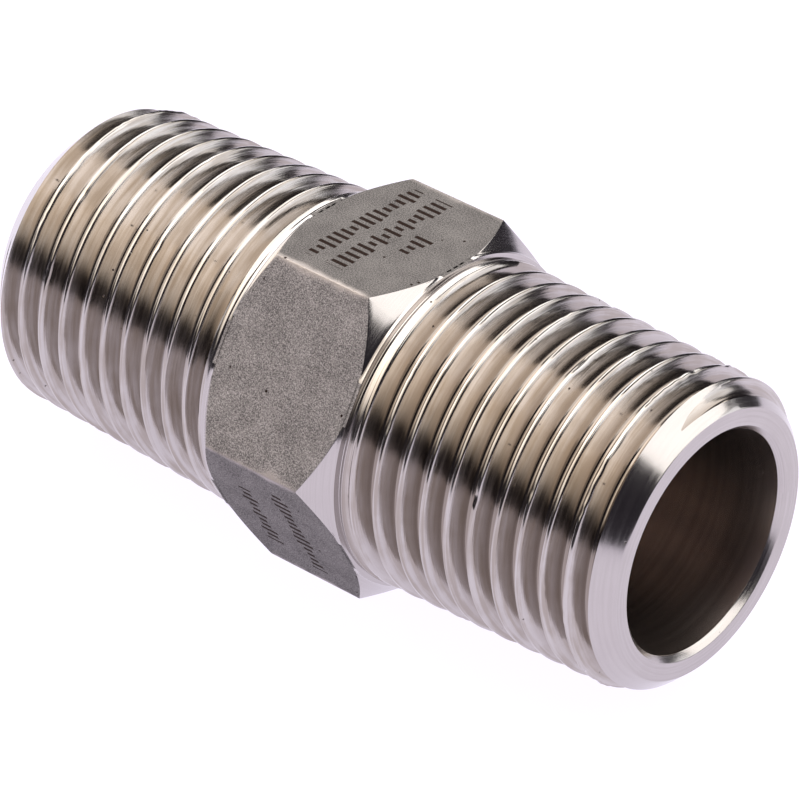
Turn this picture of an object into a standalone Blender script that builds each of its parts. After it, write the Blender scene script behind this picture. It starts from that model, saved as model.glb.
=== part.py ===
"""Hex nipple with a right-hand taper pipe thread on each end, turned from hexagon bar.

Frame: the origin is the middle of the part on the bore axis, +X runs along the bore axis
and +Z is the normal of one hexagon flat.

Every shape is drawn around the Z axis, where the Screw modifier turns it. Z_TO_X then lays
the shape along +X, so a height z in the drawing is a place x on the finished part.
"""
import math

import bmesh
import bpy
from mathutils import Matrix

MM = 0.001
INCH = 25.4 * MM

# Driving dimensions: bar, ends and bore
OVERALL_LENGTH = 51.0 * MM
ACROSS_FLATS = 22.0 * MM
HEX_CORNER_LENGTH = 7.34 * MM
HEX_FLAT_LENGTH = 10.9 * MM
BORE_DIAMETER = 14.7 * MM
COUNTERSINK = 0.4 * MM
END_FACE_DIAMETER = 17.8 * MM

# Driving dimensions: R 1/2 taper pipe thread, ISO 7-1
PITCH = INCH / 14.0
GAUGE_DIAMETER = 20.955 * MM
GAUGE_LENGTH = 8.2 * MM
THREAD_DEPTH = 0.6403 * PITCH
FLANK_ANGLE = math.radians(27.5)
TAPER = 1.0 / 32.0
CREST_WIDTH = 0.3 * MM

# Where the thread ends and where its crest line stands at the part's +Y side
RUN_OUT_START = 8.3 * MM
RUN_OUT_END = 6.0 * MM
PLUS_CREST_OFFSET = 0.03 * MM
MINUS_CREST_OFFSET = -1.04 * MM

# Facets: the turned shapes and the thread step by the same angle. The thread is turned by
# FACET_SHIFT, so that no cutter edge lies on a blank edge, and the weld closes the slivers.
STEPS_PER_TURN = 36
FACET_SHIFT = math.radians(0.2)
WELD_DISTANCE = 0.05 * MM
CUTTER_OVERRUN = 1.5 * MM
GROOVE_OVERCUT = 0.15 * MM
RUN_OUT_LIFT = THREAD_DEPTH + GROOVE_OVERCUT
SMOOTH_ANGLE = math.radians(28.0)

HALF_LENGTH = OVERALL_LENGTH / 2.0
CORNER_RADIUS = ACROSS_FLATS / math.sqrt(3.0)
Z_TO_X = Matrix(((0, 0, 1), (1, 0, 0), (0, 1, 0))).to_4x4()


def crest_radius(height):
    """Radius of the thread's crest cone at a distance from the middle of the part."""
    gauge_plane = HALF_LENGTH - GAUGE_LENGTH
    return GAUGE_DIAMETER / 2.0 + (gauge_plane - abs(height)) * TAPER


def clear_scene():
    for item in list(bpy.data.objects):
        bpy.data.objects.remove(item, do_unlink=True)


def new_collection(name):
    collection = bpy.data.collections.new(name)
    bpy.context.scene.collection.children.link(collection)
    return collection


def stainless_steel():
    material = bpy.data.materials.new("stainless_steel")
    material.use_nodes = True
    shader = material.node_tree.nodes["Principled BSDF"]
    shader.inputs["Base Color"].default_value = (0.52, 0.50, 0.49, 1.0)
    shader.inputs["Metallic"].default_value = 1.0
    shader.inputs["Roughness"].default_value = 0.32
    return material


def outline_mesh(name, points, closed):
    """Wire mesh of a profile: points are (radius, height), drawn in the XZ plane at +X."""
    count = len(points)
    last = count if closed else count - 1
    edges = [(index, (index + 1) % count) for index in range(last)]
    mesh = bpy.data.meshes.new(name)
    mesh.from_pydata([(radius, 0.0, height) for radius, height in points], edges, [])
    return mesh


def add_object(name, mesh, collection):
    item = bpy.data.objects.new(name, mesh)
    item.matrix_world = Z_TO_X
    collection.objects.link(item)
    return item


def add_screw(item, steps, rise, merge):
    """Turn a profile about Z by one facet a step, rising evenly over all the steps."""
    screw = item.modifiers.new("turn", "SCREW")
    screw.axis = "Z"
    screw.angle = steps * math.tau / STEPS_PER_TURN
    screw.screw_offset = rise
    screw.steps = steps
    screw.render_steps = steps
    screw.use_merge_vertices = merge
    screw.merge_threshold = 0.001 * MM
    return screw


def make_cutter(item):
    item.hide_render = True
    item.display_type = "WIRE"
    return item


def half_turned_profile():
    """Outside of one turned end, from the axis at the end face to the hexagon's corner."""
    chamfer = (crest_radius(HALF_LENGTH) - END_FACE_DIAMETER / 2.0) / (1.0 - TAPER)
    chamfer_height = HALF_LENGTH - chamfer

    corner_height = HEX_CORNER_LENGTH / 2.0
    flat_radius = ACROSS_FLATS / 2.0
    slope = (HEX_FLAT_LENGTH / 2.0 - corner_height) / (CORNER_RADIUS - flat_radius)
    neck_radius = crest_radius(HEX_FLAT_LENGTH / 2.0)
    neck_height = HEX_FLAT_LENGTH / 2.0 + (flat_radius - neck_radius) * slope
    rim_radius = CORNER_RADIUS + 1.0 * MM
    rim_height = corner_height - (rim_radius - CORNER_RADIUS) * slope
    return [
        (0.0, HALF_LENGTH),
        (END_FACE_DIAMETER / 2.0, HALF_LENGTH),
        (crest_radius(chamfer_height), chamfer_height),
        (neck_radius, neck_height),
        (rim_radius, rim_height),
    ]


def turned_blank(collection):
    """The outside that the lathe leaves: chamfered ends, thread cones and hexagon shoulders."""
    upper = half_turned_profile()
    lower = [(radius, -height) for radius, height in reversed(upper)]
    item = add_object("turned_blank", outline_mesh("turned_blank", upper + lower, False), collection)
    add_screw(item, STEPS_PER_TURN, 0.0, True)
    return make_cutter(item)


def bore_cutter(collection):
    """The through bore with a countersink at each mouth."""
    bore = BORE_DIAMETER / 2.0
    mouth = bore + COUNTERSINK + CUTTER_OVERRUN
    end = HALF_LENGTH + CUTTER_OVERRUN
    upper = [(0.0, end), (mouth, end), (bore, HALF_LENGTH - COUNTERSINK)]
    lower = [(radius, -height) for radius, height in reversed(upper)]
    item = add_object("bore_cutter", outline_mesh("bore_cutter", upper + lower, False), collection)
    add_screw(item, STEPS_PER_TURN, 0.0, True)
    return make_cutter(item)


def groove_section(height):
    """Section of the thread groove, without its taper, centred at a height."""
    root_radius = crest_radius(0.0) - THREAD_DEPTH
    outer_radius = crest_radius(0.0) + GROOVE_OVERCUT
    half_outer = (PITCH - CREST_WIDTH) / 2.0 + GROOVE_OVERCUT * math.tan(FLANK_ANGLE)
    half_root = half_outer - (outer_radius - root_radius) * math.tan(FLANK_ANGLE)
    return [
        (outer_radius, height + half_outer),
        (outer_radius, height - half_outer),
        (root_radius, height - half_root),
        (root_radius, height + half_root),
    ]


def groove_lift(height):
    """How far the groove stands outside the untapered thread: the taper and the run-out."""
    distance = abs(height)
    done = (RUN_OUT_START - distance) / (RUN_OUT_START - RUN_OUT_END)
    done = min(max(done, 0.0), 1.0)
    return RUN_OUT_LIFT * done * done * (3.0 - 2.0 * done) - distance * TAPER


def helix_mesh(name, start, turns, collection):
    """Closed helical solid: the groove's section turned and raised by the Screw modifier."""
    steps = round(turns * STEPS_PER_TURN)
    profile = add_object(name, outline_mesh(name, groove_section(start), True), collection)
    add_screw(profile, steps, steps * PITCH / STEPS_PER_TURN, False)
    evaluated = profile.evaluated_get(bpy.context.evaluated_depsgraph_get())
    mesh = bpy.data.meshes.new_from_object(evaluated)
    bpy.data.objects.remove(profile)

    solid = bmesh.new()
    solid.from_mesh(mesh)
    bmesh.ops.holes_fill(solid, edges=[edge for edge in solid.edges if edge.is_boundary])
    for vertex in solid.verts:
        radius = math.hypot(vertex.co.x, vertex.co.y)
        scale = 1.0 + groove_lift(vertex.co.z) / radius
        vertex.co.x *= scale
        vertex.co.y *= scale
    bmesh.ops.recalc_face_normals(solid, faces=solid.faces)
    solid.to_mesh(mesh)
    solid.free()
    return mesh


def thread_cutter(name, side, crest_offset, collection):
    """Right-hand groove from the run-out to past the end face, on one side of the middle."""
    groove_offset = crest_offset + PITCH / 2.0
    outer = side * (HALF_LENGTH + CUTTER_OVERRUN)
    inner = side * RUN_OUT_END
    low, high = min(outer, inner), max(outer, inner)
    start = groove_offset + math.floor((low - groove_offset) / PITCH + 0.5) * PITCH
    mesh = helix_mesh(name, start, (high - start) / PITCH, collection)
    mesh.transform(Matrix.Rotation(FACET_SHIFT, 4, "Z"))
    return make_cutter(add_object(name, mesh, collection))


def hexagon_bar(name, collection, material):
    """The stock: a hexagon bar with one pair of flats square to the finished part's Z."""
    shape = bmesh.new()
    bmesh.ops.create_cone(
        shape,
        cap_ends=True,
        segments=6,
        radius1=CORNER_RADIUS,
        radius2=CORNER_RADIUS,
        depth=OVERALL_LENGTH + 2.0 * CUTTER_OVERRUN,
        matrix=Matrix.Rotation(math.radians(30.0), 4, "Z"),
    )
    mesh = bpy.data.meshes.new(name)
    shape.to_mesh(mesh)
    shape.free()
    mesh.materials.append(material)
    return add_object(name, mesh, collection)


def add_boolean(item, cutter, operation):
    boolean = item.modifiers.new(cutter.name, "BOOLEAN")
    boolean.operation = operation
    boolean.solver = "EXACT"
    boolean.object = cutter


def main():
    clear_scene()
    parts = new_collection("hex_nipple")
    cutters = new_collection("hex_nipple_cutters")

    body = hexagon_bar("nipple_body", parts, stainless_steel())
    add_boolean(body, turned_blank(cutters), "INTERSECT")
    add_boolean(body, thread_cutter("thread_plus", 1, PLUS_CREST_OFFSET, cutters), "DIFFERENCE")
    add_boolean(body, thread_cutter("thread_minus", -1, MINUS_CREST_OFFSET, cutters), "DIFFERENCE")
    add_boolean(body, bore_cutter(cutters), "DIFFERENCE")
    weld = body.modifiers.new("weld", "WELD")
    weld.merge_threshold = WELD_DISTANCE

    body.data.shade_smooth()
    body.data.set_sharp_from_angle(angle=SMOOTH_ANGLE)


main()
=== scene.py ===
"""Looks of the hex nipple: the fine surface of the one turned piece, its steel and its studio.

Lengths on the piece are in millimetres until its mesh is made, lengths in the studio are in
metres, and angles are in radians. Every surface of the piece starts as a flat sheet whose points
are (along, radius, angle): the distance along the bore axis from the middle of the piece, the
distance from the axis, and the angle around it from +Y towards +Z. On the sheet a cone, a plane
across the axis and a thread's crest line are all straight, so the sheet is cut there and rolled
up around the axis afterwards.
"""
import math

import bmesh
import bpy
import numpy as np
from mathutils import Matrix, Vector


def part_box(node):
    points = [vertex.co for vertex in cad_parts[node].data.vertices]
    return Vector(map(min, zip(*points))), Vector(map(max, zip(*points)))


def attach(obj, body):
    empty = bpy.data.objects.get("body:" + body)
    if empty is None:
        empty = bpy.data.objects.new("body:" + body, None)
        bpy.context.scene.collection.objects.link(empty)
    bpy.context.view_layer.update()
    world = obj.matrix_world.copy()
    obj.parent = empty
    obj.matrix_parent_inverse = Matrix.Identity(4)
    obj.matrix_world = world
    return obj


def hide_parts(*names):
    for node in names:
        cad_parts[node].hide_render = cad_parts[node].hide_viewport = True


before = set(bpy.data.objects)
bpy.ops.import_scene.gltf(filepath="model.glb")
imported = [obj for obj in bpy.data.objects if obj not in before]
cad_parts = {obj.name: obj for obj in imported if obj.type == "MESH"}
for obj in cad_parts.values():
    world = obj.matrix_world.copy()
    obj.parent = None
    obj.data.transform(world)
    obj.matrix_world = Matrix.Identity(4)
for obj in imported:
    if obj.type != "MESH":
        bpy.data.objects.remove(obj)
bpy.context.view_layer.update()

MM = 0.001
NODE = "nipple_body"
LOW, HIGH = (np.array(corner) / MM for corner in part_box(NODE))

# Size of the turned piece, from the frame
HALF_LENGTH = float(HIGH[0])
APOTHEM = float(HIGH[2])
CORNER_RADIUS = APOTHEM * 2.0 / math.sqrt(3.0)

# Hexagon and shoulders
FLAT_ANGLE = math.radians(60.0)
CORNER_HALF_LENGTH = 3.67
FLAT_HALF_LENGTH = 5.3
SHOULDER_RUN = (FLAT_HALF_LENGTH - CORNER_HALF_LENGTH) / (CORNER_RADIUS - APOTHEM)
SHOULDER_FOOT = 5.12
SHOULDER_LEAST_RUN = 0.02
SHOULDER_EDGE = 0.05
HEX_EDGE_RADIUS = 0.14

# Necks. A ring is (distance past the shoulder's foot, depth below the foot or the thread's crest).
NECK = 5.8
FOOT_RINGS = ((0.05, 0.04), (0.11, 0.07), (0.20, 0.08), (0.28, 0.09))
COLLAR_RINGS = ((0.34, 0.10), (0.40, 0.115), (0.46, 0.09), (0.52, 0.045), (0.58, 0.012))

# Ends and bore. A broken edge's points are (distance along, distance outwards) from the corner.
FACE_RADIUS = 8.9
FAR_CHAMFER_EXTRA = 0.63
END_EDGE = 0.04
MOUTH_RADIUS = 7.75
MOUTH_EDGE = ((-0.05, -0.055), (-0.012, -0.008), (0.0, 0.05))
BORE_RADIUS = 7.35
BORE_EDGE = ((-0.04, 0.0), (0.0, 0.012), (0.04, 0.045))
COUNTERSINK = 0.4

# R 1/2 taper pipe thread. CREST_EDGES round the crest off on its -X side and on its +X side.
PITCH = 25.4 / 14.0
GAUGE_RADIUS = 20.955 / 2.0
GAUGE_LENGTH = 8.2
TAPER = 1.0 / 32.0
FLANK_ANGLE = math.radians(27.5)
CREST_HALF_WIDTH = 0.10
CREST_EDGES = (0.022, 0.055)
ROOT_RADIUS = 0.31
RUN_OUT_END = 5.98
FULL_THREAD = 6.65
CREST_OFFSET = {1: 0.12, -1: -0.96}

# The thread loses this share of its depth between these two distances from the end face
SHALLOW_END = 0.3
SHALLOW_FROM = 1.4
SHALLOW_TO = 0.6

# Wear of the crests: depths in millimetres, rates in random values per radian, and the places
# along the axis between which the burrs by the end chamfer rise and fade
WAVES = ((0.005, 8.0), (0.004, 29.0))
NICK_DEPTH = 0.08
NICK_RATE = 13.0
NICK_LEVEL = 0.88
BURR_DEPTH = 0.11
BURR_RATES = (27.0, 5.0)
BURR_RISE = (21.7, 22.4)
BURR_FADE = (23.4, 24.0)
WEAR_REACH = 0.16
WEAR_SEED = {1: 60, -1: 20}
NOISE_CELLS = 4096

# Etched code rows, each a plain row of ticks: (flat, place along, from, to across the flat)
FLAT_SPACING = 20.0
# The flat whose colour is made brighter: painted light standing in for a fill light from the front
FRONT_FLAT = 2
CODE_ROWS = (
    (1, -2.35, -5.4, 5.0),
    (1, -0.3, -5.4, 5.0),
    (1, 1.7, -1.5, 0.9),
    (3, -2.1, -2.7, 3.6),
    (3, 1.1, -4.2, 4.8),
)
TICK_SPACING = 0.62
TICK_HALF_SHARE = 0.24
TICK_HALF_HEIGHTS = (0.306, 0.68)
ROW_SEED_STEP = 0.37

# Mesh density: steps around, distances from the crest line, and shares of each stretch
THREAD_STEPS = 186
SECTION_OFFSETS = (0.0, 0.07, 0.10, 0.13, 0.17, 0.26, 0.44, 0.61, 0.69, 0.79, PITCH / 2.0)
FLAT_STEPS = 32
CORNER_STEPS = 4
FLAT_SHARES = (0.0, 0.2, 0.4, 0.6, 0.8, 0.93)
EDGE_SHARES = (0.0, 0.25, 0.5, 0.75, 1.0)
SHOULDER_SHARES = (0.2, 0.4, 0.6, 0.8, 1.0)
BORE_STEPS = 180
BORE_SHARES = (0.0, 0.3, 0.6, 0.85)

# Mesh tolerances
CUT_TOLERANCE = 1e-6
WELD_DISTANCE = 0.0005
SURFACE_TOLERANCE = 0.001
BRIDGE_REACH = 0.2
SHARP_ANGLE = math.radians(32.0)

# Materials of the piece, in slot order
THREAD, FLAT, SHOULDER, FACE, BORE = range(5)

# Floor: its half size, and how far it lies below the piece
FLOOR_HALF_SIZE = 1.5
FLOOR_GAP = 0.02 * MM

# Overhead softboxes: their height, the lines from left to right and from front to back where
# they end or meet, the left side of the gap, the front of the right box, and the front spread
SOFTBOX_HEIGHT = 0.4
SOFTBOX_X = (-1.5, -0.165, 0.05, 0.9)
SOFTBOX_Y = (-1.45, -0.174, 0.10, 0.82)
GAP_LEFT = -0.182
RIGHT_BOX_FRONT = -0.05
FRONT_SPREAD = math.radians(148.0)

# Camera: where it stands, seen from its target, and its lens and sensor as Blender gives them
CAMERA_AZIMUTH = math.radians(39.744)
CAMERA_ELEVATION = math.radians(32.449)
CAMERA_ROLL = math.radians(1.949)
CAMERA_DISTANCE = 0.34883
CAMERA_TARGET = Vector((0.904, 0.275, -0.576)) * MM
CAMERA_LENS = 251.7
SENSOR_WIDTH = 36.0


def crest_radius(along):
    """Crest cone of the taper thread at a distance from the middle of the piece."""
    return GAUGE_RADIUS + (HALF_LENGTH - GAUGE_LENGTH - np.abs(along)) * TAPER


def smooth_step(value, low, high):
    """Smooth change from 0 to 1 while the value goes from low to high."""
    t = np.clip((value - low) / (high - low), 0.0, 1.0)
    return t * t * (3.0 - 2.0 * t)


def value_noise(places, seed):
    """Smooth random value from -1 to 1 along a line, the same in every run."""
    cells = np.floor(places).astype(int)
    part = places - cells
    part = part * part * (3.0 - 2.0 * part)
    draws = np.random.default_rng(seed).uniform(-1.0, 1.0, NOISE_CELLS)
    return draws[cells % NOISE_CELLS] * (1.0 - part) + draws[(cells + 1) % NOISE_CELLS] * part


def new_sheet(points):
    """Quad sheet through a (rows, columns, 3) array of points; its faces run row by row."""
    rows, columns = points.shape[:2]
    row, column = np.meshgrid(np.arange(rows - 1), np.arange(columns - 1), indexing="ij")
    first = (row * columns + column).reshape(-1)
    faces = np.stack([first, first + 1, first + columns + 1, first + columns], axis=-1)
    mesh = bpy.data.meshes.new("sheet")
    mesh.from_pydata(points.reshape(-1, 3).tolist(), [], faces.tolist())
    sheet = bmesh.new()
    sheet.from_mesh(mesh)
    sheet.faces.ensure_lookup_table()
    bpy.data.meshes.remove(mesh)
    return sheet


def cut_sheet(sheet, point, normal, drop_beyond):
    """Cut the sheet's faces along a plane, and drop what lies beyond it if asked."""
    bmesh.ops.bisect_plane(
        sheet,
        geom=sheet.verts[:] + sheet.edges[:] + sheet.faces[:],
        dist=CUT_TOLERANCE,
        plane_co=point,
        plane_no=normal,
        clear_outer=drop_beyond,
    )


def roll_up(target, sheet, side, surface):
    """Map the sheet by its surface coordinates, roll it up and move it into the target."""
    layer = sheet.loops.layers.uv.new("marks")
    for face in sheet.faces:
        for loop in face.loops:
            loop[layer].uv = surface(face, *loop.vert.co)
    for vertex in sheet.verts:
        along, radius, scaled_angle = vertex.co * MM
        angle = scaled_angle / MM
        vertex.co = (side * along, radius * math.cos(angle), radius * math.sin(angle))
    bmesh.ops.remove_doubles(sheet, verts=sheet.verts, dist=WELD_DISTANCE * MM)
    mesh = bpy.data.meshes.new("rolled")
    sheet.to_mesh(mesh)
    sheet.free()
    target.from_mesh(mesh)
    bpy.data.meshes.remove(mesh)


def groove_depth(offset):
    """Depth of the thread below its crest, by the distance along the axis from the crest line."""
    edge = np.where(offset < 0.0, *CREST_EDGES)
    offset = np.abs(offset)
    run = math.tan(FLANK_ANGLE)
    flank = (offset - CREST_HALF_WIDTH) / run
    rounded = 0.5 * (flank + np.sqrt(flank * flank + edge * edge))
    to_root = PITCH / 2.0 - offset
    apex = (PITCH / 2.0 - CREST_HALF_WIDTH) / run
    arc_centre = apex - ROOT_RADIUS / math.sin(FLANK_ANGLE)
    arc = arc_centre + np.sqrt(np.maximum(ROOT_RADIUS**2 - to_root**2, 0.0))
    return np.where(to_root < ROOT_RADIUS * math.cos(FLANK_ANGLE), arc, rounded)


def crest_wear(angle, offset, along, seed):
    """Fine waviness of the crest, a few nicks, and ragged burrs on the turn by the end chamfer."""
    wave = 0.0
    for number, (depth, rate) in enumerate(WAVES):
        wave = wave + depth * value_noise(angle * rate, seed + number)
    nick = NICK_DEPTH * smooth_step(value_noise(angle * NICK_RATE, seed + 2), NICK_LEVEL, 1.0)
    fine_rate, slow_rate = BURR_RATES
    burr = value_noise(angle * fine_rate, seed + 3) * value_noise(angle * slow_rate, seed + 4)
    last_turn = smooth_step(along, *BURR_RISE) * (1.0 - smooth_step(along, *BURR_FADE))
    on_crest = np.exp(-((offset / WEAR_REACH) ** 2))
    return (wave + nick + BURR_DEPTH * burr * last_turn) * on_crest


def thread_points(side):
    """One end's thread as a helical ribbon, one pitch wide from root to root."""
    half_section = np.array(SECTION_OFFSETS)
    offsets = np.concatenate([-half_section[:0:-1], half_section])
    first = round((NECK - PITCH - side * CREST_OFFSET[side]) / PITCH * THREAD_STEPS)
    steps = round((HALF_LENGTH - NECK + 2.0 * PITCH) / PITCH * THREAD_STEPS)
    angles = side * (first + np.arange(steps + 1)) * math.tau / THREAD_STEPS
    angle, offset = np.meshgrid(angles, offsets)
    along = side * (CREST_OFFSET[side] + PITCH * angle / math.tau + offset)
    cut = smooth_step(along, RUN_OUT_END, FULL_THREAD)
    near_end = smooth_step(along, HALF_LENGTH - SHALLOW_FROM, HALF_LENGTH - SHALLOW_TO)
    cut *= 1.0 - SHALLOW_END * near_end
    depth = (groove_depth(offset) + crest_wear(angle, offset, along, WEAR_SEED[side])) * cut
    return np.stack([along, crest_radius(along) - depth, angle], axis=-1)


def add_thread(target, side):
    """One end's thread and chamfer, from the neck to the end face's broken edge."""
    sheet = new_sheet(thread_points(side))
    chamfer_sum = HALF_LENGTH + FACE_RADIUS - (FAR_CHAMFER_EXTRA if side < 0 else 0.0)
    cut_sheet(sheet, (chamfer_sum, 0.0, 0.0), (1.0, 1.0, 0.0), False)
    cut_sheet(sheet, (HALF_LENGTH - END_EDGE, 0.0, 0.0), (1.0, 0.0, 0.0), True)
    cut_sheet(sheet, (NECK, 0.0, 0.0), (-1.0, 0.0, 0.0), True)
    for face in sheet.faces:
        middle = face.calc_center_median()
        face.material_index = SHOULDER if middle.x + middle.y > chamfer_sum else THREAD
    for vertex in sheet.verts:
        vertex.co.y = min(vertex.co.y, chamfer_sum - vertex.co.x)

    def along_helix(_face, along, _radius, angle):
        return angle * GAUGE_RADIUS, side * along - CREST_OFFSET[side] - PITCH * angle / math.tau

    roll_up(target, sheet, side, along_helix)


def hexagon_outline():
    """Polar radius and angle of points once around a hexagon with rounded corners."""
    radii, angles = [], []
    half_angle = FLAT_ANGLE / 2.0
    half_flat = CORNER_RADIUS / 2.0 - HEX_EDGE_RADIUS * math.tan(half_angle)
    centre = CORNER_RADIUS - HEX_EDGE_RADIUS / math.cos(half_angle)
    across = np.linspace(-half_flat, half_flat, FLAT_STEPS)
    for flat in range(6):
        middle = flat * FLAT_ANGLE + half_angle
        radii.extend(np.hypot(APOTHEM, across))
        angles.extend(middle + np.arctan2(across, APOTHEM))
        for step in range(1, CORNER_STEPS):
            turn = FLAT_ANGLE * step / CORNER_STEPS - half_angle
            out = centre + HEX_EDGE_RADIUS * math.cos(turn)
            beside = HEX_EDGE_RADIUS * math.sin(turn)
            radii.append(math.hypot(out, beside))
            angles.append(middle + half_angle + math.atan2(beside, out))
    return np.array(radii + radii[:1]), np.array(angles + [angles[0] + math.tau])


def shoulder_radius(along):
    """Radius of the shoulder cone that turns the hexagon's corners off."""
    return CORNER_RADIUS - (along - CORNER_HALF_LENGTH) / SHOULDER_RUN


def neck_profile():
    """Turned rings between the shoulder's foot and the thread, as (along, radius)."""
    foot = shoulder_radius(SHOULDER_FOOT)
    collar = crest_radius(NECK)
    profile = [(SHOULDER_FOOT + past, foot - depth) for past, depth in FOOT_RINGS]
    profile += [(SHOULDER_FOOT + past, collar - depth) for past, depth in COLLAR_RINGS]
    return profile + [(NECK - END_EDGE, collar)]


def hexagon_rows():
    """The outline's angles, and rows of (along, radius) over them from the middle to one neck."""
    flat_radius, angles = hexagon_outline()
    edge = CORNER_HALF_LENGTH + (CORNER_RADIUS - flat_radius) * SHOULDER_RUN
    near, far = edge - SHOULDER_EDGE, edge + SHOULDER_EDGE
    rows = [(edge * share, flat_radius) for share in FLAT_SHARES]
    for share in EDGE_SHARES:
        along = (1 - share) ** 2 * near + 2 * share * (1 - share) * edge + share**2 * far
        rows.append((along, (1 - share**2) * flat_radius + share**2 * shoulder_radius(far)))
    start = np.minimum(far, SHOULDER_FOOT - SHOULDER_LEAST_RUN)
    for share in SHOULDER_SHARES:
        along = start + (SHOULDER_FOOT - start) * share
        rows.append((along, np.minimum(shoulder_radius(along), flat_radius)))
    for along, radius in neck_profile():
        rows.append((np.full_like(edge, along), np.minimum(radius, flat_radius)))
    return angles, rows


def lies_on_flat(face):
    """Whether every corner of a face of the sheet is in the plane of one flat."""
    for vertex in face.verts:
        from_middle = vertex.co.z % FLAT_ANGLE - FLAT_ANGLE / 2.0
        if vertex.co.y * math.cos(from_middle) < APOTHEM - SURFACE_TOLERANCE:
            return False
    return True


def hexagon_place(face, along, radius, angle):
    """On a flat, the distance across it (each flat FLAT_SPACING further) and along the axis."""
    if face.material_index != FLAT:
        return angle * GAUGE_RADIUS, abs(along) - radius
    flat = math.floor(face.calc_center_median().z / FLAT_ANGLE)
    across = radius * math.sin(angle - (flat + 0.5) * FLAT_ANGLE)
    return flat * FLAT_SPACING + across, along


def add_hexagon(target):
    """The hexagon with its shoulders and necks, from one neck to the other."""
    angles, half = hexagon_rows()
    rows = [(-along, radius) for along, radius in half[:0:-1]] + half
    points = np.stack([np.stack([along, radius, angles], axis=-1) for along, radius in rows])
    sheet = new_sheet(points)
    middle_row = len(half) - 1
    to_edge_middle = len(FLAT_SHARES) + len(EDGE_SHARES) // 2
    for index, face in enumerate(sheet.faces):
        row = index // (len(angles) - 1)
        inside_edges = abs(row + 0.5 - middle_row) < to_edge_middle
        face.material_index = FLAT if inside_edges or lies_on_flat(face) else SHOULDER
    roll_up(target, sheet, 1, hexagon_place)


def bore_profile(face_radius):
    """Half of the inside, as (along, radius): bore, countersink with broken edges, end face."""
    sink = HALF_LENGTH - COUNTERSINK
    profile = [(HALF_LENGTH * share, BORE_RADIUS) for share in BORE_SHARES]
    profile += [(sink + past, BORE_RADIUS + out) for past, out in BORE_EDGE]
    profile.append((sink + COUNTERSINK / 2.0, BORE_RADIUS + COUNTERSINK / 2.0))
    profile += [(HALF_LENGTH + past, MOUTH_RADIUS + out) for past, out in MOUTH_EDGE]
    profile.append((HALF_LENGTH, (MOUTH_RADIUS + face_radius) / 2.0))
    profile.append((HALF_LENGTH, face_radius - END_EDGE / 2.0))
    return profile


def add_inside(target):
    """Both end faces, their countersinks and the bore between them."""
    far = bore_profile(FACE_RADIUS - FAR_CHAMFER_EXTRA)
    rows = [(-along, radius) for along, radius in far[:0:-1]] + bore_profile(FACE_RADIUS)
    angles = np.arange(BORE_STEPS + 1) * math.tau / BORE_STEPS
    points = np.array([[(along, radius, angle) for angle in angles] for along, radius in rows])
    sheet = new_sheet(points)
    for face in sheet.faces:
        outside_bore = face.calc_center_median().y > BORE_RADIUS + SURFACE_TOLERANCE
        face.material_index = FACE if outside_bore else BORE
    roll_up(target, sheet, 1, lambda _face, along, radius, angle: (angle * radius, abs(along) + radius))


def bridge_gap(target, low, high):
    """Close the narrow gap between the two open rings that lie between two places on the axis."""
    edges = []
    for edge in target.edges:
        along = (edge.verts[0].co.x + edge.verts[1].co.x) / 2.0 / MM
        if edge.is_boundary and low < along < high:
            edges.append(edge)
    bmesh.ops.bridge_loops(target, edges=edges)


def nipple_mesh():
    """The whole piece as one closed mesh: hexagon, inside and both threads."""
    body = bmesh.new()
    body.loops.layers.uv.new("marks")
    add_hexagon(body)
    add_inside(body)
    for side in (1, -1):
        add_thread(body, side)
        for place in (NECK, HALF_LENGTH):
            bridge_gap(body, side * place - BRIDGE_REACH, side * place + BRIDGE_REACH)
    bmesh.ops.recalc_face_normals(body, faces=body.faces)
    mesh = bpy.data.meshes.new("nipple")
    body.to_mesh(mesh)
    body.free()
    mesh.shade_smooth()
    mesh.set_sharp_from_angle(angle=SHARP_ANGLE)
    return mesh


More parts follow.
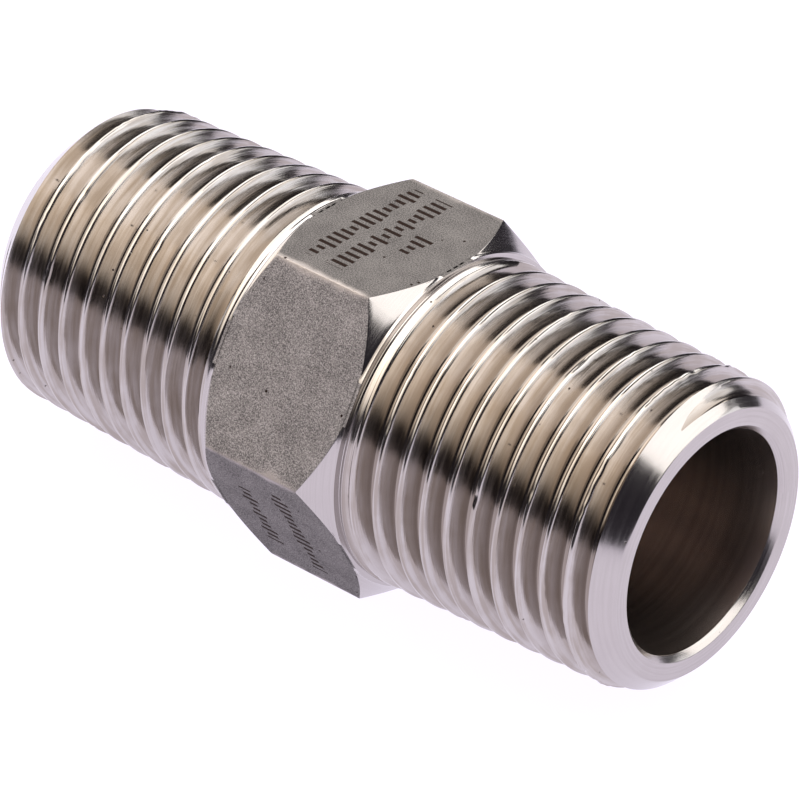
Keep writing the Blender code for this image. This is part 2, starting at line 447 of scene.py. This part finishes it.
class Graph:
    """Shader nodes of one material, added by name and linked as they are fed."""

    def __init__(self, tree):
        self.tree = tree

    def node(self, kind, **settings):
        node = self.tree.nodes.new("ShaderNode" + kind)
        for name, value in settings.items():
            setattr(node, name, value)
        return node

    def feed(self, socket, value):
        """Link a socket to another one, or set it to a value."""
        if isinstance(value, bpy.types.NodeSocket):
            self.tree.links.new(value, socket)
        else:
            socket.default_value = value

    def math(self, operation, first, second=0.0):
        node = self.node("Math", operation=operation)
        self.feed(node.inputs[0], first)
        self.feed(node.inputs[1], second)
        return node.outputs[0]

    def weighted(self, first, second, share):
        """Sum of the share of the first value and the rest of the second."""
        rest = self.math("MULTIPLY", second, 1.0 - share)
        return self.math("ADD", self.math("MULTIPLY", first, share), rest)

    def ramp(self, value, low, high, start=0.0, end=1.0):
        """Smooth change from start to end while the value goes from low to high."""
        node = self.node("MapRange", interpolation_type="SMOOTHSTEP")
        for name, number in (("From Min", low), ("From Max", high), ("To Min", start), ("To Max", end)):
            node.inputs[name].default_value = number
        self.feed(node.inputs["Value"], value)
        return node.outputs["Result"]

    def band(self, value, middle, half, soft):
        """1 within a half width of the middle and 0 beyond it, with a soft edge."""
        distance = self.math("ABSOLUTE", self.math("SUBTRACT", value, middle))
        return self.ramp(distance, half - soft, half + soft, 1.0, 0.0)

    def axis(self, vector, name):
        """One axis of a vector."""
        node = self.node("SeparateXYZ")
        self.feed(node.inputs[0], vector)
        return node.outputs[name]

    def stretch(self, vector, scale):
        """Vector multiplied by a scale for each axis."""
        node = self.node("VectorMath", operation="MULTIPLY")
        self.feed(node.inputs[0], vector)
        node.inputs[1].default_value = scale
        return node.outputs["Vector"]

    def noise(self, vector, density, detail):
        """Perlin noise with a density in cells per unit along each axis of the vector."""
        node = self.node("TexNoise")
        self.feed(node.inputs["Vector"], self.stretch(vector, density))
        node.inputs["Scale"].default_value = 1.0
        node.inputs["Detail"].default_value = detail
        return node.outputs["Fac"]

    def spots(self, vector, density, share, radius):
        """Round spots in a share of the cells, with a radius in cells: 1 in a spot and 0 outside."""
        node = self.node("TexVoronoi")
        self.feed(node.inputs["Vector"], self.stretch(vector, (density,) * 3))
        node.inputs["Scale"].default_value = 1.0
        split = self.node("SeparateColor")
        self.feed(split.inputs[0], node.outputs["Color"])
        picked = self.math("LESS_THAN", split.outputs[0], share)
        spot = self.ramp(node.outputs["Distance"], radius / 2.0, radius, 1.0, 0.0)
        return self.math("MULTIPLY", picked, spot)

    def mix(self, factor, first, second):
        """Colour that goes from the first to the second as the factor goes from 0 to 1."""
        node = self.node("Mix", data_type="RGBA")
        self.feed(node.inputs["Factor"], factor)
        self.feed(node.inputs["A"], first)
        self.feed(node.inputs["B"], second)
        return node.outputs["Result"]

    def bump(self, height, distance):
        """Bump whose height of 1 stands a distance in millimetres."""
        node = self.node("Bump")
        node.inputs["Strength"].default_value = 1.0
        node.inputs["Distance"].default_value = distance * MM
        self.feed(node.inputs["Height"], height)
        return node.outputs["Normal"]

    def place(self):
        """Place on the piece in millimetres."""
        return self.stretch(self.node("TexCoord").outputs["Object"], (1.0 / MM,) * 3)

    def marks(self):
        """Millimetres along and across the tool marks, or across and along a flat."""
        return self.node("UVMap", uv_map="marks").outputs["UV"]


def steel_material(name):
    """Plain metal, with its node graph and its shader."""
    material = bpy.data.materials.new(name)
    material.use_nodes = True
    shader = material.node_tree.nodes["Principled BSDF"]
    shader.inputs["Metallic"].default_value = 1.0
    return material, Graph(material.node_tree), shader


def painted_root_shade(graph, marks, place, streak):
    """Share of painted shade in the thread grooves: none on a crest, most in a root, and less of it on
    the far end.
    """
    from_crest = graph.math("ABSOLUTE", graph.axis(marks, "Y"))
    ragged = graph.math("ADD", from_crest, graph.math("MULTIPLY", streak, 0.5))
    near_end = graph.ramp(graph.axis(place, "X"), -NECK, NECK, start=0.35, end=1.0)
    return graph.math("MULTIPLY", graph.ramp(ragged, 0.45, 1.1), near_end)


def turned_steel(name, bright, dull, roughness, lines, painted_shade_colour=None):
    """Steel with tool lines, streaks of duller metal, a few pits and painted shade in thread roots.

    The lines are (length, spacing, depth) in millimetres. A streak is shorter than a line and
    several lines wide.
    """
    material, graph, shader = steel_material(name)
    length, spacing, depth = lines
    marks, place = graph.marks(), graph.place()
    line = graph.noise(marks, density=(1.0 / length, 1.0 / spacing, 1.0), detail=3.0)
    streak = graph.noise(marks, density=(2.4 / length, 0.30 / spacing, 1.0), detail=4.0)
    cloud = graph.noise(place, density=(0.5, 0.5, 0.5), detail=3.0)
    pits = graph.spots(place, density=1.5, share=0.06, radius=0.13)
    pit_depth = 0.02
    pit_colour = (0.05, 0.035, 0.03, 1.0)

    colour = graph.mix(graph.ramp(graph.weighted(streak, cloud, share=0.75), 0.38, 0.62), dull, bright)
    # Painted shade: the colour goes brown and dark towards the thread roots, less so on the far end
    if painted_shade_colour:
        colour = graph.mix(painted_root_shade(graph, marks, place, streak), colour, painted_shade_colour)
    sunk = graph.math("MULTIPLY", pits, pit_depth)
    height = graph.math("SUBTRACT", graph.math("MULTIPLY", line, depth), sunk)
    graph.feed(shader.inputs["Base Color"], graph.mix(pits, colour, pit_colour))
    graph.feed(shader.inputs["Roughness"], graph.ramp(streak, 0.35, 0.65, *roughness))
    graph.feed(shader.inputs["Normal"], graph.bump(height, distance=1.0))
    return material


def thread_steel():
    """Threads: lines and streaks along the helix, and brown painted shade towards the roots."""
    return turned_steel(
        "thread_steel",
        bright=(0.53, 0.50, 0.483, 1.0),
        dull=(0.38, 0.34, 0.305, 1.0),
        roughness=(0.11, 0.19),
        lines=(16.0, 0.045, 0.003),
        # Colour of the painted shade in the thread roots
        painted_shade_colour=(0.28, 0.24, 0.21, 1.0),
    )


def shoulder_steel():
    """Shoulders, necks and end chamfers: even and smooth."""
    return turned_steel(
        "shoulder_steel",
        bright=(0.50, 0.47, 0.457, 1.0),
        dull=(0.475, 0.445, 0.433, 1.0),
        roughness=(0.14, 0.18),
        lines=(16.0, 0.045, 0.001),
    )


def face_steel():
    """End faces and countersinks: a little rougher than the shoulders."""
    return turned_steel(
        "face_steel",
        bright=(0.50, 0.47, 0.455, 1.0),
        dull=(0.46, 0.43, 0.415, 1.0),
        roughness=(0.18, 0.26),
        lines=(16.0, 0.045, 0.002),
    )


def bore_steel():
    """Bore: even rings left by the boring tool, which draw reflections out along it."""
    material = turned_steel(
        "bore_steel",
        bright=(0.54, 0.47, 0.43, 1.0),
        dull=(0.50, 0.44, 0.40, 1.0),
        roughness=(0.24, 0.26),
        lines=(400.0, 0.13, 0.003),
    )
    shader = material.node_tree.nodes["Principled BSDF"]
    shader.inputs["Anisotropic"].default_value = 0.35
    shader.inputs["Anisotropic Rotation"].default_value = 0.25
    graph = Graph(material.node_tree)
    tangent = graph.node("Tangent", direction_type="UV_MAP", uv_map="marks")
    graph.feed(shader.inputs["Tangent"], tangent.outputs["Tangent"])
    return material


def etched_code(graph, across, along):
    """Mask of the etched rows: ticks of uneven height at an even spacing, with no meaning."""
    place = graph.math("DIVIDE", across, TICK_SPACING)
    stroke = graph.band(graph.math("FRACT", place), middle=0.5, half=TICK_HALF_SHARE, soft=0.05)
    mask = None
    for number, (flat, row, start, end) in enumerate(CODE_ROWS):
        chance = graph.node("TexWhiteNoise", noise_dimensions="1D")
        tick_number = graph.math("FLOOR", place)
        graph.feed(chance.inputs["W"], graph.math("ADD", tick_number, ROW_SEED_STEP * number))
        reach = graph.ramp(chance.outputs["Value"], 0.1, 0.7, *TICK_HALF_HEIGHTS)
        offset = graph.math("ABSOLUTE", graph.math("SUBTRACT", along, row))
        tick = graph.math("LESS_THAN", offset, reach)
        middle = flat * FLAT_SPACING + (start + end) / 2.0
        in_row = graph.band(across, middle, half=(end - start) / 2.0, soft=0.02)
        tick = graph.math("MULTIPLY", tick, in_row)
        mask = tick if mask is None else graph.math("ADD", mask, tick)
    return graph.math("MULTIPLY", mask, stroke)


def painted_front_light(graph, colour, across):
    """The colour, half as bright again on the front flat: painted light standing in for a fill light
    from the front.
    """
    on_front = graph.band(across, FRONT_FLAT * FLAT_SPACING, half=FLAT_SPACING / 2.0, soft=0.5)
    painted_light = graph.node("VectorMath", operation="SCALE")
    graph.feed(painted_light.inputs["Vector"], colour)
    graph.feed(painted_light.inputs["Scale"], graph.ramp(on_front, 0.0, 1.0, start=1.0, end=1.5))
    return painted_light.outputs["Vector"]


def edge_wear(graph, place, mottle):
    """Mask of the hexagon's worn edges, which are ragged, by the distance from the axis."""
    from_axis = graph.node("VectorMath", operation="LENGTH")
    graph.feed(from_axis.inputs[0], graph.stretch(place, (0.0, 1.0, 1.0)))
    ragged = graph.math("ADD", from_axis.outputs["Value"], graph.math("MULTIPLY", mottle, 0.5))
    return graph.ramp(ragged, CORNER_RADIUS, CORNER_RADIUS + 0.3)


def flat_steel():
    """Flats: bead-blasted, with fine grain, soft mottling, pits, worn edges, etched rows and painted
    light that makes the front flat brighter.
    """
    material, graph, shader = steel_material("flat_steel")
    dark, pale = (0.105, 0.097, 0.098, 1.0), (0.37, 0.35, 0.345, 1.0)
    worn, burnt = (0.40, 0.36, 0.345, 1.0), (0.036, 0.021, 0.017, 1.0)
    marks, place = graph.marks(), graph.place()
    across, along = graph.axis(marks, "X"), graph.axis(marks, "Y")
    grain = graph.noise(place, density=(12.0, 12.0, 12.0), detail=1.0)
    mottle = graph.noise(place, density=(0.6, 0.6, 0.6), detail=3.0)
    pits = graph.spots(place, density=0.9, share=0.5, radius=0.11)
    wear = edge_wear(graph, place, mottle)
    patchy = graph.ramp(grain, 0.25, 0.5, start=0.75, end=1.0)
    code = graph.math("MULTIPLY", etched_code(graph, across, along), patchy)

    colour = graph.mix(graph.ramp(graph.weighted(grain, mottle, share=0.8), 0.26, 0.74), dark, pale)
    # Painted light: the front flat's colour is half as bright again, for a fill light from the front
    colour = graph.mix(wear, painted_front_light(graph, colour, across), worn)
    colour = graph.mix(graph.math("MAXIMUM", code, pits), colour, burnt)
    graph.feed(shader.inputs["Base Color"], colour)
    graph.feed(shader.inputs["Roughness"], graph.ramp(wear, 0.0, 1.0, start=0.86, end=0.5))
    graph.feed(shader.inputs["Normal"], graph.bump(graph.math("SUBTRACT", grain, pits), distance=0.035))
    return material


def add_nipple():
    """The one piece, in place of the CAD body."""
    piece = bpy.data.objects.new("nipple", nipple_mesh())
    bpy.context.scene.collection.objects.link(piece)
    for material in (thread_steel(), flat_steel(), shoulder_steel(), face_steel(), bore_steel()):
        piece.data.materials.append(material)
    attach(piece, "root")
    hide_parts(NODE)


def add_floor():
    """Pale table that gives off light, so that it stays white and even under the piece."""
    low, high = -FLOOR_HALF_SIZE, FLOOR_HALF_SIZE
    corners = [(low, low, 0.0), (high, low, 0.0), (high, high, 0.0), (low, high, 0.0)]
    mesh = bpy.data.meshes.new("floor")
    mesh.from_pydata(corners, [], [(0, 1, 2, 3)])
    floor = bpy.data.objects.new("floor", mesh)
    floor.location.z = LOW[2] * MM - FLOOR_GAP
    bpy.context.scene.collection.objects.link(floor)
    material = bpy.data.materials.new("pale_table")
    material.use_nodes = True
    shader = material.node_tree.nodes["Principled BSDF"]
    shader.inputs["Base Color"].default_value = (0.10, 0.10, 0.10, 1.0)
    shader.inputs["Roughness"].default_value = 1.0
    shader.inputs["Specular IOR Level"].default_value = 0.0
    shader.inputs["Emission Color"].default_value = (1.01, 0.955, 1.12, 1.0)
    shader.inputs["Emission Strength"].default_value = 1.0
    mesh.materials.append(material)


def add_light(name, location, aim, size, brightness, colour, spread=math.pi):
    """Rectangular softbox that shines from its location towards a point."""
    data = bpy.data.lights.new(name, "AREA")
    data.shape = "RECTANGLE"
    data.size, data.size_y = size
    data.energy = brightness * math.pi * size[0] * size[1]
    data.color = colour
    data.spread = spread
    light = bpy.data.objects.new(name, data)
    light.location = location
    light.rotation_mode = "QUATERNION"
    light.rotation_quaternion = (Vector(aim) - Vector(location)).to_track_quat("-Z", "Y")
    bpy.context.scene.collection.objects.link(light)


def add_overhead(name, low, high, brightness, colour, spread=math.pi):
    """Softbox that faces down from SOFTBOX_HEIGHT: a rectangle between two (x, y) corners."""
    middle = ((low[0] + high[0]) / 2.0, (low[1] + high[1]) / 2.0)
    size = (high[0] - low[0], high[1] - low[1])
    add_light(name, (*middle, SOFTBOX_HEIGHT), (*middle, 0.0), size, brightness, colour, spread)


def add_lights():
    """Overhead softboxes around a gap at the back, dim at the right front, and two low cards."""
    left, split, right, far_right = SOFTBOX_X
    front_end, front, back, back_end = SOFTBOX_Y
    add_overhead("left_back", (left, back), (GAP_LEFT, back_end), 2.8, (1.0, 0.99, 0.97))
    add_overhead("middle", (left, front), (right, back), 3.25, (1.0, 0.95, 0.88))
    add_overhead("left_front", (left, front_end), (split, front), 2.7, (1.0, 0.92, 0.81), FRONT_SPREAD)
    add_overhead("right_front", (split, front_end), (right, front), 1.0, (1.0, 0.91, 0.79), FRONT_SPREAD)
    add_overhead("right", (right, RIGHT_BOX_FRONT), (far_right, back_end), 2.2, (1.0, 0.98, 0.95))
    add_light(
        "right_card",
        location=(0.60, 0.50, 0.19),
        aim=(0.0, 0.0, 0.19),
        size=(0.75, 0.20),
        brightness=1.6,
        colour=(0.97, 0.98, 1.0),
    )
    add_light(
        "left_card",
        location=(-0.95, 0.0, 0.17),
        aim=(0.0, 0.0, 0.17),
        size=(0.9, 0.22),
        brightness=1.0,
        colour=(0.97, 0.96, 1.0),
    )


def add_world():
    """The dark room around the lights."""
    world = bpy.data.worlds.new("studio")
    world.use_nodes = True
    world.node_tree.nodes["Background"].inputs["Color"].default_value = (0.030, 0.027, 0.034, 1.0)
    bpy.context.scene.world = world


def add_camera():
    """The product shot: from the right front and above, with a long lens and a slight roll."""
    across = math.cos(CAMERA_ELEVATION)
    back = Vector((
        math.sin(CAMERA_AZIMUTH) * across,
        -math.cos(CAMERA_AZIMUTH) * across,
        math.sin(CAMERA_ELEVATION),
    ))
    data = bpy.data.cameras.new("camera")
    data.sensor_width = SENSOR_WIDTH
    data.lens = CAMERA_LENS
    data.clip_start = 0.01
    data.clip_end = 10.0
    camera = bpy.data.objects.new("camera", data)
    camera.rotation_mode = "QUATERNION"
    facing = (-back).to_track_quat("-Z", "Y")
    camera.rotation_quaternion = facing @ Matrix.Rotation(CAMERA_ROLL, 3, "Z").to_quaternion()
    camera.location = CAMERA_TARGET + back * CAMERA_DISTANCE
    bpy.context.scene.collection.objects.link(camera)
    bpy.context.scene.camera = camera


def main():
    add_nipple()
    add_floor()
    add_world()
    add_lights()
    add_camera()
    bpy.context.scene.view_settings.view_transform = "Standard"


main()
